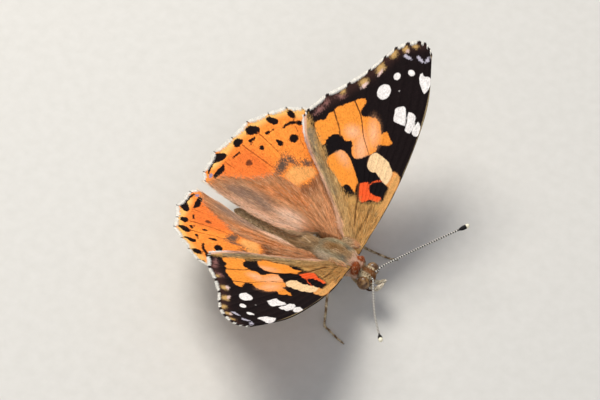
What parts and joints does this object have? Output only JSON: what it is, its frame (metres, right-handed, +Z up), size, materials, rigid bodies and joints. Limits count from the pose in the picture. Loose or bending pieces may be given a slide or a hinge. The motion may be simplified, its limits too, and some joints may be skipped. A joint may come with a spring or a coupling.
{
  "type": "painted lady butterfly",
  "caption": "Life-size still painted lady butterfly with spotted orange wings half open, standing on its feet.",
  "frame": {"origin": "on the floor under the middle of the whole insect's box", "axes": "+Z up, head towards -Y, the butterfly's left towards +X"},
  "size_m": [0.0596, 0.0378, 0.0224],
  "materials": {
    "wing": "fine powdery scales, orange with black and white marks",
    "thorax": "olive-tan silky hair",
    "abdomen": "tan scales and short hair",
    "collar": "short red-brown hair",
    "head": "short brown hair",
    "eye": "glossy, finely faceted",
    "palp": "pale bristly hair",
    "proboscis": "satin dark tube",
    "antenna": "ringed pale and dark, pale-tipped club",
    "leg": "pale scales"
  },
  "bodies": {
    "root": {"head": "head", "eye_left": "eye", "eye_right": "eye", "palp_left": "palp", "palp_right": "palp", "proboscis": "proboscis", "antenna_left": "antenna", "antenna_right": "antenna", "prothorax": "collar", "thorax": "thorax", "abdomen": "abdomen", "forewing_left": "wing", "forewing_right": "wing", "hindwing_left": "wing", "hindwing_right": "wing", "foreleg_left": "leg", "foreleg_right": "leg", "midleg_left": "leg", "midleg_right": "leg", "hindleg_left": "leg", "hindleg_right": "leg"}
  },
  "joints": []
}
